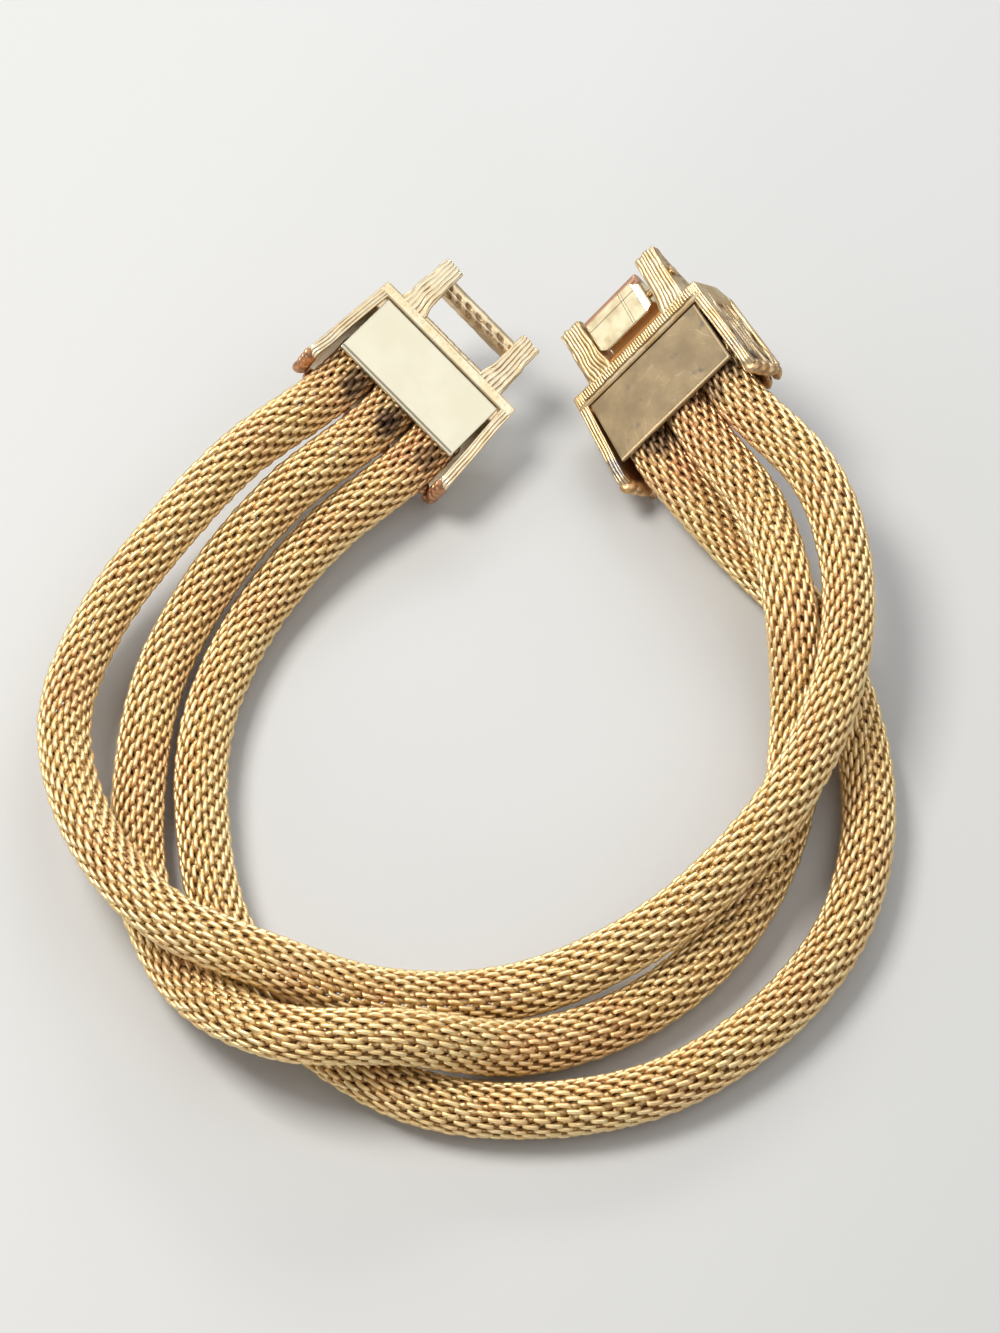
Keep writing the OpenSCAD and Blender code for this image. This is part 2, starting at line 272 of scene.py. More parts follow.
# The two clasp halves: the middle of each mouth, and how the half is turned about X, Y and Z.
claspPlaces = {
    "loop": {"place": (-7.7, 25.8, 9.0), "turn": (5, 25, -39)},
    "hook": {"place": (19.3, 24.4, 10.0), "turn": (4, -45, 24)},
}


def turnOf(half):
    x, y, z = [math.radians(a) for a in claspPlaces[half]["turn"]]
    aboutX = np.array([[1, 0, 0], [0, math.cos(x), -math.sin(x)], [0, math.sin(x), math.cos(x)]])
    aboutY = np.array([[math.cos(y), 0, math.sin(y)], [0, 1, 0], [-math.sin(y), 0, math.cos(y)]])
    aboutZ = np.array([[math.cos(z), -math.sin(z), 0], [math.sin(z), math.cos(z), 0], [0, 0, 1]])
    return aboutZ @ aboutY @ aboutX


turns = {half: turnOf(half) for half in claspPlaces}


def onClasp(half, point):
    return np.asarray(claspPlaces[half]["place"]) + turns[half] @ np.asarray(point, float)


# The strands: woven tubes of wire coils that link into each other, one row after the next.
strands = {
    "diameter": 4.75,
    "pitch": 4.9,           # between strands in a clasp
    "seat": 5.0,            # length inside a clasp
    "lead": 1.2,            # straight stretch out of a mouth
    "seatHeight": -2.5,
    "pressed": 0.749,       # how flat a strand is inside a clasp
    "wire": 0.43,           # thickness of the wire
    "innerSpread": 0.8,     # how much wider the wire is on the inside of the tube
    "turnsPerCoil": 12,
    "rowPitch": 0.885,
    "turnReach": 0.66,      # half the length of one turn
    "turnDepth": 0.28,      # half its depth
    "outerShare": 0.26,     # of a turn's sideways step that its outer stretch takes
    "endInset": 1.0,        # how far the weave stops short of a strand's ends
    "outerSteps": 5,
    "innerSteps": 3,
    "wireSides": 5,
}

# The free stretch of each strand, as it was laid down, from the loop half to the hook half.
routes = {
    "strand_outer": [
        (-20, 21.6, 9), (-26.1, 14.6, 7.5), (-32, 6, 5.5), (-34.4, -4, 5.5), (-31.7, -14.8, 7),
        (-25.4, -23.8, 8.5), (-16.5, -28.4, 8.5), (-6.5, -30.3, 5.5), (4, -29.2, 4), (13.5, -25.7, 5.4),
        (21.2, -19.9, 6.8), (27.7, -11.8, 8), (32, -1.5, 8.5), (33.2, 9, 9), (30.9, 18, 10.5),
    ],
    "strand_middle": [
        (-15.9, 19.3, 6.5), (-22.3, 11.4, 4.5), (-26.7, 2, 3), (-28, -8.5, 2.5), (-27.2, -18.5, 2.5),
        (-22.8, -28.3, 4), (-15, -34.5, 7.5), (-5, -35, 7.5), (5, -34, 3.5), (14.3, -30.2, 2.5),
        (21.9, -23.4, 2.5), (26.8, -13.8, 2.5), (28.6, -3.5, 3.5), (28.2, 7, 7.5), (26.2, 16.5, 7.5),
    ],
    "strand_inner": [
        (-12.7, 16.7, 3.5), (-18.8, 8.2, 2.5), (-22.3, -2, 2.5), (-22.4, -12.5, 2.5), (-19.8, -23, 2.5),
        (-13.5, -31.5, 2.5), (-4.5, -37.7, 2.5), (5.5, -39.2, 2.5), (16, -37.2, 2.5), (25, -31.3, 2.5),
        (31.5, -23, 2.5), (34.4, -13, 2.5), (34, -2.5, 2.5), (30.8, 7.5, 2.5), (24.2, 16.2, 2.5),
    ],
}
strandSlots = {"strand_outer": -1, "strand_middle": 0, "strand_inner": 1}

# Near-black places on the weave just inside the clasp mouths: half, place in that half's own frame, radius,
# strength.
darkSpots = [
    ("loop", (-3.6, 0.7, -0.8), 1.4, 0.75),
    ("loop", (0.9, 0.6, -0.8), 1.5, 0.85),
    ("loop", (5.6, 0.6, -0.9), 1.3, 0.55),
    ("hook", (-3.4, 0.9, -0.8), 1.7, 0.75),
    ("hook", (3.6, 0.9, -0.8), 1.5, 0.55),
    ("hook", (6.2, 1.4, -0.8), 1.3, 0.6),
]


def strandPoints(name):
    across = strandSlots[name] * strands["pitch"]
    z = strands["seatHeight"]
    ends = [onClasp("loop", (across, strands["seat"], z)), onClasp("loop", (across, -strands["lead"], z))]
    tail = [onClasp("hook", (-across, -strands["lead"], z)), onClasp("hook", (-across, strands["seat"], z))]
    return np.array(ends + [np.array(p, float) for p in routes[name]] + tail)


def curveAt(points, t):
    last = len(points) - 1
    i = np.minimum(np.floor(t).astype(int), last - 1)
    f = (t - i)[:, None]
    a, b, c, d = [points[np.clip(i + k, 0, last)] for k in (-1, 0, 1, 2)]
    return 0.5 * (2 * b + (c - a) * f + (2 * a - 5 * b + 4 * c - d) * f ** 2
                  + (3 * b - a - 3 * c + d) * f ** 3)


class Tube:  # the middle line of a strand, with a frame at each place along it
    def __init__(self, name):
        points = strandPoints(name)
        last = len(points) - 1
        t = np.linspace(0, last, 4000)
        self.middle = curveAt(points, t)
        ahead = unit(curveAt(points, np.minimum(t + 0.05, last)) - curveAt(points, np.maximum(t - 0.05, 0)))
        loopPart = 1 - eased((t - 1) / 3)
        hookPart = 1 - eased((last - 1 - t) / 3)
        up = (loopPart[:, None] * turns["loop"][:, 2] + hookPart[:, None] * turns["hook"][:, 2]
              + (1 - loopPart - hookPart)[:, None] * np.array([0, 0, 1.0]))
        self.side = unit(np.cross(ahead, up))
        self.top = np.cross(self.side, ahead)
        near = np.maximum(1 - eased((t - 1) / 0.7), 1 - eased((last - 1 - t) / 0.7))
        self.flat = 1 - near * (1 - strands["pressed"])
        steps = np.linalg.norm(np.diff(self.middle, axis=0), axis=1)
        self.along = np.concatenate([[0], np.cumsum(steps)])
        self.length = self.along[-1]

    def at(self, s, angle, radius):
        def pick(rows):
            return np.stack([np.interp(s, self.along, rows[:, k]) for k in range(3)], -1)
        flat = np.interp(s, self.along, self.flat)
        sideways = (radius * np.cos(angle))[..., None] * pick(self.side)
        upwards = (radius * flat * np.sin(angle))[..., None] * pick(self.top)
        return pick(self.middle) + sideways + upwards


def weave(name, seed):
    tube = Tube(name)
    s = strands
    turnsInCoil = s["turnsPerCoil"]
    usable = tube.length - 2 * s["endInset"]
    coils = int(usable / s["rowPitch"])
    starts = s["endInset"] + (np.arange(coils) + 0.5) * usable / coils
    outer = np.linspace(0, math.pi, s["outerSteps"], endpoint=False)
    inner = np.linspace(math.pi, 2 * math.pi, s["innerSteps"], endpoint=False)
    phase = np.concatenate([outer, inner])
    # the sideways step of one turn, shared between its outer and its inner stretch
    stepped = np.where(phase < math.pi, phase / math.pi * s["outerShare"],
                       s["outerShare"] + (phase / math.pi - 1) * (1 - s["outerShare"]))
    turnNumber = np.arange(turnsInCoil)
    stepAngle = 2 * math.pi / turnsInCoil
    rng = np.random.default_rng(seed)
    angle = -(turnNumber[:, None] + stepped[None, :]) * stepAngle
    stagger = (np.arange(coils) % 2) * stepAngle / 2
    wobble = rng.normal(0, 0.035, (coils, turnsInCoil, 1))
    angle = (angle[None] + stagger[:, None, None] + wobble * 0.5).reshape(coils, -1)
    reach = s["turnReach"] * (1 + rng.normal(0, 0.04, (coils, turnsInCoil, 1)))
    along = starts[:, None, None] - reach * np.cos(phase)[None, None]
    along = (along + rng.normal(0, 0.03, (coils, turnsInCoil, 1))).reshape(coils, -1)
    depth = np.sign(np.sin(phase)) * np.abs(np.sin(phase)) ** 0.7
    wireRadius = s["wire"] / 2
    middle = s["diameter"] / 2 - wireRadius - s["turnDepth"]
    radius = middle + s["turnDepth"] * (depth[None, None] + rng.normal(0, 0.05, (coils, turnsInCoil, 1)))
    radius = radius.reshape(coils, -1)
    line = tube.at(along, angle, radius)
    outward = unit(line - tube.at(along, angle, radius * 0))
    tangent = unit(np.roll(line, -1, axis=1) - np.roll(line, 1, axis=1))
    normal = unit(outward - (outward * tangent).sum(-1, keepdims=True) * tangent)
    binormal = np.cross(tangent, normal)
    sides = s["wireSides"]
    ringAngle = 2 * math.pi * np.arange(sides) / sides
    spread = np.tile(1 + s["innerSpread"] * np.clip(-np.sin(phase), 0, 1), turnsInCoil)[None, :, None, None]
    rings = (line[:, :, None] + wireRadius * (np.cos(ringAngle)[:, None] * normal[:, :, None]
                                              + spread * np.sin(ringAngle)[:, None] * binormal[:, :, None]))
    count = line.shape[1]
    # lift: how high a point lies in the weave; the wire material paints shade where it is low
    lift = (radius[:, :, None] + wireRadius * np.cos(ringAngle) - middle) / (s["turnDepth"] + wireRadius)
    shade = np.repeat(rng.uniform(0, 1, (coils, turnsInCoil)), len(phase), axis=1)
    shade = np.broadcast_to(shade[:, :, None], lift.shape)
    points = rings.reshape(-1, 3)
    c, p, k = np.meshgrid(np.arange(coils), np.arange(count), np.arange(sides), indexing="ij")

    def index(p, k):
        return (c * count + p % count) * sides + k % sides
    faces = np.stack([index(p, k), index(p, k + 1), index(p + 1, k + 1), index(p + 1, k)], -1)
    brown = darkened(points)
    nearMouth = np.minimum(*[np.linalg.norm((points - onClasp(half, (0, 0, -2.5))) @ turns[half]
                                            * (0.35, 1, 0.35), axis=1) for half in turns])
    warm = 1.3 * (1 - eased(nearMouth / 7)) * (0.7 + 0.5 * lumps(points, 1.6, 9))
    print(name, "coils", coils, "faces", faces[..., 0].size, "length", round(tube.length, 1))
    return Form(points, faces.reshape(-1, 4), lift=lift.ravel() * 0.5 + 0.5, shade=shade.ravel(),
                brown=brown, warm=np.clip(warm, 0, 1))


def darkened(points):
    total = np.zeros(len(points))
    for half, spot, radius, strength in darkSpots:
        away = np.linalg.norm(points - onClasp(half, spot), axis=1)
        ragged = away + 0.45 * lumps(points, 0.7, 5)
        total = np.maximum(total, strength * (1 - eased((ragged / radius - 0.55) / 0.75)))
    return total


# Colours of the woven wire. The hollow colour is painted shade, laid on the low, inner stretches of the
# turns where the weave shades itself.
wireTones = {
    "bright": (1.0, 0.82, 0.47),
    "gold": (0.95, 0.65, 0.27),
    "hollow": (0.34, 0.15, 0.04),
    "copper": (0.86, 0.50, 0.26),
    "darkened": (0.10, 0.05, 0.035),
    "roughness": 0.36,
    "metallic": 0.8,
}


def wireMaterial():
    bench = Bench("wovenWire")
    place = bench.mark("place", "Vector")
    lift = bench.mark("lift")
    shade = bench.mark("shade")
    brown = bench.mark("brown")
    warm = bench.mark("warm")
    patches = bench.noise(place, 0.16, 2.0).between(0.48, 0.66)
    fine = bench.noise(place, 1.6, 3.0)
    gold = bench.mixed((shade * 0.5 + fine * 0.6).held(), wireTones["gold"], wireTones["bright"])
    aged = bench.mixed(((patches * 0.6 + warm) * fine).held(), gold, wireTones["copper"])
    # painted shade: the lower a point lies in the weave, the more it takes the dark hollow colour
    hollow = 1 - lift.between(0.05, 0.62)
    withPaintedShade = bench.mixed((hollow * 0.92).held(), aged, wireTones["hollow"])
    dark = (brown * (0.55 + fine)).held()
    base = bench.mixed(dark, withPaintedShade, wireTones["darkened"])
    rough = wireTones["roughness"] + fine * 0.12 + hollow * 0.12 + dark * 0.2
    return bench.metal(base, rough, metallic=wireTones["metallic"])


def buildStrands():
    material = wireMaterial()
    for seed, name in enumerate(routes):
        form = weave(name, 11 + seed)
        makePiece(name + "_weave", form, material, "bracelet", [name], crease=180)


buildStrands()
print("strands woven")


# A box with rounded edges, as a closed grid of points that can be shaped further.
def softBlock(low, high, radius, spacing):
    low, high = np.asarray(low, float), np.asarray(high, float)
    spacing = np.broadcast_to(np.asarray(spacing, float), 3)
    edge = radius * np.array([0, 0.45])
    lines = []
    for a in range(3):
        count = max(1, int(round((high[a] - low[a] - 2 * radius) / spacing[a])))
        middle = np.linspace(low[a] + radius, high[a] - radius, count + 1)
        lines.append(np.concatenate([low[a] + edge, middle, high[a] - edge[::-1]]))
    grid = np.stack(np.meshgrid(*lines, indexing="ij"), -1)
    last = [len(line) - 1 for line in lines]
    i, j, k = np.indices(grid.shape[:3])
    skin = ((i % last[0] == 0) | (j % last[1] == 0) | (k % last[2] == 0))
    number = np.full(grid.shape[:3], -1)
    number[skin] = np.arange(skin.sum())
    faces = []
    for a, end in product(range(3), (0, -1)):
        n = np.take(number, end, axis=a)
        quads = np.stack([n[:-1, :-1], n[1:, :-1], n[1:, 1:], n[:-1, 1:]], -1).reshape(-1, 4)
        outward = (end == -1) != (a == 1)
        faces.append(quads if outward else quads[:, ::-1])
    points = grid[skin]
    core = np.clip(points, low + radius, high - radius)
    form = Form(core, faces, rise=0.0)
    form.normals = unit(points - core)
    form.points = core + radius * form.normals
    return form


# A round bead with its own grid, squashed to the given half sizes.
def bead(middle, reach, rings=9, sides=14):
    up = np.linspace(-math.pi / 2, math.pi / 2, rings + 2)[1:-1]
    turn = 2 * math.pi * np.arange(sides) / sides
    u, t = np.meshgrid(up, turn, indexing="ij")
    ball = np.stack([np.sin(u), np.cos(u) * np.cos(t), np.cos(u) * np.sin(t)], -1).reshape(-1, 3)
    ball = np.concatenate([ball, [(-1, 0, 0), (1, 0, 0)]])
    i, k = np.meshgrid(np.arange(rings - 1), np.arange(sides), indexing="ij")
    a, b = i * sides + k, i * sides + (k + 1) % sides
    quads = np.stack([a, b, b + sides, a + sides], -1).reshape(-1, 4)
    k = np.arange(sides)
    first = np.stack([np.full(sides, rings * sides), (k + 1) % sides, k], -1)
    top = (rings - 1) * sides
    final = np.stack([np.full(sides, rings * sides + 1), top + k, top + (k + 1) % sides], -1)
    form = Form(ball * np.asarray(reach, float) + middle, [quads, first, final], rise=0.0)
    form.normals = ball
    return form


def relief(form, height):
    form.points = form.points + form.normals * height[:, None]
    form.marks["rise"] = form.marks["rise"] + height
    return form


# Rounded ridges with narrow grooves between them: 1 on a crest, 0 in a groove.
def ridged(across, pitch):
    return np.abs(np.sin(math.pi * across / pitch)) ** 0.6


# The box of both clasp halves and the arms on it.
clasp = {
    "width": 16.39, "depth": 9.8, "height": 5.0,
    "wall": 0.8, "rim": 1.1, "rimHeight": 0.6, "endWall": 2.4, "faceSlope": 1.6,
    "mouthFlare": 0.65, "rimLines": 3.5, "lineDepth": 0.13,
    "beads": 14, "beadSize": 1.5, "beadSpan": 16.59, "beadDepth": -0.4, "beadHeight": -4.4,
    "sideBeads": 3, "sideBeadTop": -0.8,
    "armSpan": 12.6, "armLength": 5.5,
}

loopCast = {
    "armWidth": 2.5, "tipWidth": 2.2, "armThick": 2.8, "tipThick": 2.8, "taperOutside": True,
    "armShift": 0.0, "flare": 0.35, "armLines": 6, "armWander": 1.0,
    "endLip": 1.13, "webReach": 0.4, "beadCopper": 1.0,
    "worn": [],
    "barDepth": 1.7, "barThick": 1.6, "barDrop": 0.9, "barPlace": 13.0,
    "gold": (0.86, 0.70, 0.44), "pale": (0.93, 0.82, 0.60), "groove": (0.30, 0.17, 0.08),
    "tarnish": (0.55, 0.27, 0.14), "roughness": 0.30,
}

hookCast = {
    "armWidth": 2.6, "tipWidth": 2.4, "armThick": 3.5, "tipThick": 0.9, "taperOutside": False,
    "armShift": 0.35, "flare": 0.3, "armLines": 7, "armWander": 1.6,
    "endLip": 1.68, "tickPitch": 0.30, "beadCopper": 0.4,
    "worn": [((-8.1, 1.6, -0.1), 1.5), ((8.0, 2.2, -0.3), 1.1), ((8.7, 0.4, -1.2), 0.9)],
    "floorEnd": 12.9, "floorDrop": 0.9, "hollow": 2.04, "hingePlace": 12.6, "hingeHeight": -1.05,
    "gold": (0.60, 0.43, 0.22), "pale": (0.74, 0.60, 0.39), "groove": (0.13, 0.065, 0.03),
    "tarnish": (0.60, 0.27, 0.08), "roughness": 0.36,
}


# The bark-like relief of the cast metal: lines along Y that wander and break.
def barkRelief(form, depth, across=0.42, seed=3):
    p = form.points
    wander = 0.35 * lumps(p, (0.9, 1.6, 0.9), seed)
    lines = ridged(p[:, 0] + p[:, 2] + wander, across)
    broken = eased(0.5 + 0.8 * lumps(p, (0.6, 1.2, 0.6), seed + 1))
    return -depth * ((1 - lines) * (0.45 + 0.55 * broken) + 0.4 * broken)


def castArm(v, side, seed):
    width, length, thick = v["armWidth"], clasp["armLength"], v["armThick"]
    root = clasp["depth"] - 0.5
    end = clasp["depth"] + length + 0.2
    form = softBlock((0, root, -thick), (width, end, 0), 0.22, (0.045, 0.12, 0.25))
    p = form.points
    along = np.clip((p[:, 1] - clasp["depth"]) / length, 0, 1)
    share = p[:, 0] / width
    half = clasp["armSpan"] / 2
    taper = (width - v["tipWidth"]) * along
    flare = v["flare"] * (1 - eased(along / 0.35))
    edge = 0.07 * lumps(p * (0, 1, 0), (1, 0.9, 1), seed + 5)
    outer = half - (taper if v["taperOutside"] else 0) + 0.2 * flare - edge - 0.03
    inner = half - width + (0 if v["taperOutside"] else taper) - flare + 0.5 * edge
    thinning = 1 + (v["tipThick"] / thick - 1) * along
    ragged = 0.14 * lumps(p * (1, 0, 1), (0.45, 1, 2), seed + 6) * eased((along - 0.9) / 0.1)
    wander = 0.22 * lumps(p, (9, 1.6, 9), seed) + 0.10 * lumps(p, (0.5, 0.8, 9), seed + 1)
    wander = wander * v["armWander"]
    lines = ridged(share * v["armLines"] + 0.5 + wander, 1)
    top = eased((form.normals[:, 2] + 0.2) / 0.5)
    worn = 0.65 + 0.35 * lumps(p, (0.8, 0.7, 2), seed + 2)
    height = -clasp["lineDepth"] * (1 - lines) * top * worn
    height += barkRelief(form, 0.10, 0.5, seed) * (1 - top) * eased(along * 4)
    x = side * (inner + share * (outer - inner)) + v["armShift"]
    form.points = np.stack([x, p[:, 1] + ragged, p[:, 2] * thinning], -1)
    form.normals = form.normals * (side, 1, 1)
    if side < 0:
        form.faces = [f[:, ::-1] for f in form.faces]
    return relief(form, height)


def flareAt(y):
    return clasp["mouthFlare"] * np.clip(1 - y / clasp["depth"], 0, 1)


def castRim(side, seed):
    outer = clasp["width"] / 2
    form = softBlock((outer - clasp["rim"], -0.45, -clasp["rimHeight"] - 0.3), (outer, clasp["depth"], 0),
                     0.18, (0.045, 0.15, 0.2))
    p = form.points
    share = (p[:, 0] - outer) / clasp["rim"] + 1
    wander = 0.22 * lumps(p, (9, 1.8, 9), seed)
    lines = ridged(share * clasp["rimLines"] + 0.25 + wander, 1)
    top = eased((form.normals[:, 2] + 0.1) / 0.5)
    height = -clasp["lineDepth"] * (1 - lines) * top * (0.75 + 0.25 * lumps(p, (1, 1, 2), seed + 1))
    height += barkRelief(form, 0.10, 0.45, seed) * (1 - top)
    form.marks["copper"] = 0.9 * eased(-form.normals[:, 0] / 0.5) * eased((0.3 - form.normals[:, 2]) / 0.5)
    # the end over the mouth is a knuckle that curves down
    knuckle = eased((0.5 - p[:, 1]) / 0.9)
    bent = np.stack([p[:, 0] + flareAt(p[:, 1]), p[:, 1], p[:, 2] - 0.3 * knuckle ** 2], -1)
    form.points = bent * (side, 1, 1)
    form.normals = form.normals * (side, 1, 1)
    if side < 0:
        form.faces = [f[:, ::-1] for f in form.faces]
    return relief(form, height)


def castWall(side, seed):
    outer = clasp["width"] / 2
    form = softBlock((outer - clasp["wall"], 0, -clasp["height"]), (outer, clasp["depth"], -0.35),
                     0.2, (0.3, 0.13, 0.08))
    slopeFace(form)
    outward = eased((form.normals[:, 0] - 0.2) / 0.5)
    steps = 0.22 * eased(lumps(form.points, (9, 2.6, 0.5), seed + 2))
    height = (barkRelief(form, 0.32, 0.7, seed) - steps) * outward
    form.marks["rise"] += 0.13 * outward
    form.marks["copper"] = 0.9 * eased(-form.normals[:, 0] / 0.5)
    form.points = form.points + np.stack([flareAt(form.points[:, 1]), 0 * height, 0 * height], -1)
    form.points = form.points * (side, 1, 1)
    form.normals = form.normals * (side, 1, 1)
    if side < 0:
        form.faces = [f[:, ::-1] for f in form.faces]
    return relief(form, height)


# Lifts the low corner of the arm side to the slope of the show face.
def slopeFace(form):
    start = clasp["depth"] - clasp["faceSlope"]
    lowest = -clasp["height"] + np.maximum(form.points[:, 1] - start, 0)
    form.points[:, 2] = np.maximum(form.points[:, 2], lowest)


def castBox(v, seed):
    w, d, h = clasp["width"] / 2, clasp["depth"], clasp["height"]
    parts = []
    for n, side in enumerate((-1, 1)):
        parts += [castRim(side, seed + 10 * n), castWall(side, seed + 3 + 10 * n)]
    face = softBlock((-w, 0, -h), (w, d - clasp["faceSlope"] + 0.4, -h + 0.6), 0.2, (0.5, 0.4, 0.2))
    face.points[:, 0] *= 1 + flareAt(face.points[:, 1]) / w
    endWall = softBlock((-w, d - clasp["endWall"], -h), (w, d, -clasp["rimHeight"]), 0.2, (0.3, 0.2, 0.25))
    slopeFace(face)
    slopeFace(endWall)
    edge = softBlock((-w, d - v["endLip"], -1.2), (w, d, 0), 0.2, (0.05, 0.07, 0.25))
    p = edge.points
    top = eased(edge.normals[:, 2] / 0.5)
    if "tickPitch" in v:
        wander = 0.06 * lumps(p, (0.6, 0.5, 3), seed + 7)
        hollow = (1 - ridged(p[:, 0] + wander, v["tickPitch"])) * eased((p[:, 1] - d + 1.05) / 0.12)
        hollow = np.maximum(hollow, np.exp(-((p[:, 1] - d + 1.1 + wander) / 0.07) ** 2))
        relief(edge, -0.13 * hollow * eased((edge.normals[:, 2] + edge.normals[:, 1] - 0.1) / 0.5))
    else:
        pebbles = eased(0.5 + 0.9 * lumps(p, (0.20, 0.30, 3), seed + 7))
        line = np.exp(-((p[:, 1] - d + 0.40) / 0.25) ** 2)
        relief(edge, -0.035 * (1 - pebbles) * line * top)
    parts += [face, endWall, edge]
    return parts + castBeads(v["beadCopper"])


# The rope of beads round the mouth: along the edge of the show face and up both sides.
def castBeads(copper):
    size, y, z = clasp["beadSize"], clasp["beadDepth"], clasp["beadHeight"]
    half = clasp["beadSpan"] / 2
    spots = [(x, z, "x") for x in np.linspace(-half, half, clasp["beads"])]
    steps = np.linspace(z, clasp["sideBeadTop"], clasp["sideBeads"] + 1)[1:]
    spots += [(side * half, step, "z") for side in (-1, 1) for step in steps]
    parts = []
    for x, z, way in spots:
        b = bead((0, 0, 0), np.array([0.41, 0.50, 0.50]) * size)
        turn = np.arctan2(b.normals[:, 2], b.normals[:, 1])
        relief(b, -0.07 * (1 - ridged(b.normals[:, 0] + 0.12 * turn, 1.0)))
        b.points[:, 0] += 0.55 * b.points[:, 2]
        if way == "z":  # the same bead, laid along the height
            b.points = b.points[:, [2, 1, 0]] * (-0.92 * np.sign(x), 1.0, 0.92 * np.sign(x))
        b.moved((x, y, z)).marks["copper"] = np.full(len(b.points), copper)
        parts.append(b)
    return parts


def loopPieces():
    v = loopCast
    parts = castBox(v, 20) + [castArm(v, -1, 31), castArm(v, 1, 37)]
    half = clasp["armSpan"] / 2 - v["armWidth"] + v["tipWidth"] / 2 + 0.2
    near, far = v["barPlace"] + 0.1, v["barPlace"] + v["barDepth"] + 0.1
    bar = softBlock((-half, near, -v["barDrop"] - v["barThick"]), (half, far, 0.25 - v["barDrop"]), 0.5,
                    (0.09, 0.05, 0.1))
    p = bar.points
    away = (p[:, 1] - v["barPlace"]) / v["barDepth"] + 0.10 * lumps(p, (1.6, 9, 9), 41)
    # two smooth strips with a row of slanting pits between them, and a second row at the inner side
    slant = 2 * math.pi * (p[:, 0] + 0.8 * p[:, 1]) / 1.35
    pits = eased(0.5 + 1.2 * np.sin(slant + 2 * lumps(p, (1.5, 9, 9), 42)))
    lines = np.exp(-((away - 0.55) / 0.10) ** 2) * (0.25 + 0.75 * pits)
    lines = np.maximum(lines, np.exp(-((away - 0.22) / 0.07) ** 2) * (0.3 + 0.7 * pits))
    relief(bar, -0.17 * lines - 0.04 * eased(0.5 + 0.7 * lumps(p, (0.8, 0.5, 0.5), 43)))
    web = softBlock((-half, clasp["depth"] - 0.3, -2.8), (half, clasp["depth"] + v["webReach"], -0.1), 0.3,
                    (0.15, 0.1, 0.3))
    relief(web, barkRelief(web, 0.06, 0.9, 45))
    parts.append(web)
    ends = eased((np.abs(p[:, 0]) - half + 1.3) / 1.3)
    bar.points[:, 1] += ends * 0.25 * (bar.points[:, 1] - v["barPlace"] - v["barDepth"] / 2)
    bar.marks["copper"] = 0.3 * eased((v["barPlace"] + 0.45 - p[:, 1]) / 0.4)
    parts.append(bar)
    whole = wornAway(joined(parts), v["worn"])
    makePiece("loop_casting", whole, castMaterial("loopMetal", v), "bracelet", ["loop_clasp"],
              turns["loop"], claspPlaces["loop"]["place"], crease=180)


def hookPieces():
    v = hookCast
    parts = castBox(v, 50) + [castArm(v, -1, 61), castArm(v, 1, 67)]
    inner = clasp["armSpan"] / 2 - v["armWidth"] + 0.3
    d = clasp["depth"]
    floor = softBlock((-inner, d - 0.2, 0), (inner, v["floorEnd"], 1), 0.06, (0.3, 0.06, 0.3))
    # scooped so that the lever's tail swings clear of it
    y = floor.points[:, 1]
    away = np.clip(v["hingePlace"] - y, 0, v["hollow"])
    scoop = v["hingeHeight"] - np.sqrt(v["hollow"] ** 2 - away ** 2)
    high = np.where(v["hingePlace"] - y > v["hollow"], -v["floorDrop"], np.minimum(scoop, -v["floorDrop"]))
    low = np.minimum(high - 0.2, 0.51 * np.maximum(y - d - 0.4, 0) - v["armThick"])
    floor.points[:, 2] = low + (high - low) * floor.points[:, 2]
    floor.moved((v["armShift"], 0, 0)).marks["copper"] = np.full(len(floor.points), 1.2)
    whole = wornAway(joined(parts + [floor]), v["worn"])
    makePiece("hook_casting", whole, castMaterial("hookMetal", v), "bracelet", ["hook_clasp"],
              turns["hook"], claspPlaces["hook"]["place"], crease=180)


# Where the plating has worn to a grey metal: a mark for each point of a form.
def wornAway(form, spots):
    form.marks["worn"] = np.zeros(len(form.points))
    for spot, radius in spots:
        away = np.linalg.norm(form.points - np.asarray(spot), axis=1) + 0.4 * lumps(form.points, 0.6, 8)
        form.marks["worn"] = np.maximum(form.marks["worn"], 1 - eased(away / radius - 0.3))
    return form


def castMaterial(name, v):
    bench = Bench(name)
    place = bench.mark("place", "Vector")
    groove = (bench.mark("rise") * -1).between(0.015, 0.10)
    copper = bench.mark("copper")
    worn = bench.mark("worn")
    patches = bench.noise(place, 0.45, 4.0)
    fine = bench.noise(bench.stretched(place, (1.0, 0.35, 1.0)), 2.6, 4.0)
    base = bench.mixed(patches.between(0.38, 0.66), v["gold"], v["pale"])
    base = bench.mixed((fine.between(0.56, 0.80) * 0.5).held(), base, v["tarnish"])
    base = bench.mixed((copper * (0.65 + fine * 0.6)).held(), base, v["tarnish"])
    base = bench.mixed((worn * fine.between(0.35, 0.6)).held(), base, (0.22, 0.22, 0.24))
    base = bench.mixed((groove * (0.35 + fine)).held(), base, v["groove"])
    rough = v["roughness"] + fine * 0.14 + groove * 0.15
    grain = bench.bump(fine, 0.05, 0.5)
    return bench.metal(base, rough, grain)


# The smooth plates in the backs of both halves.
plateValues = {
    "width": 13.95, "depth": 6.5, "thickness": 0.4,
    "hookFlare": 0.045, "loopPlace": 2.05, "hookPlace": 1.5, "loopSink": 0.05, "hookSink": 0.1,
    "loopTone": (0.76, 0.72, 0.57), "loopShade": (0.70, 0.66, 0.51),
    "hookTone": (0.50, 0.38, 0.23), "hookShade": (0.34, 0.26, 0.16), "hookStain": (0.18, 0.16, 0.16),
}


def plateForm(place, sink):
    v = plateValues
    w = v["width"] / 2
    return softBlock((-w, place, -sink - v["thickness"]), (w, place + v["depth"], -sink), 0.1,
                     (0.25, 0.05, 0.1))


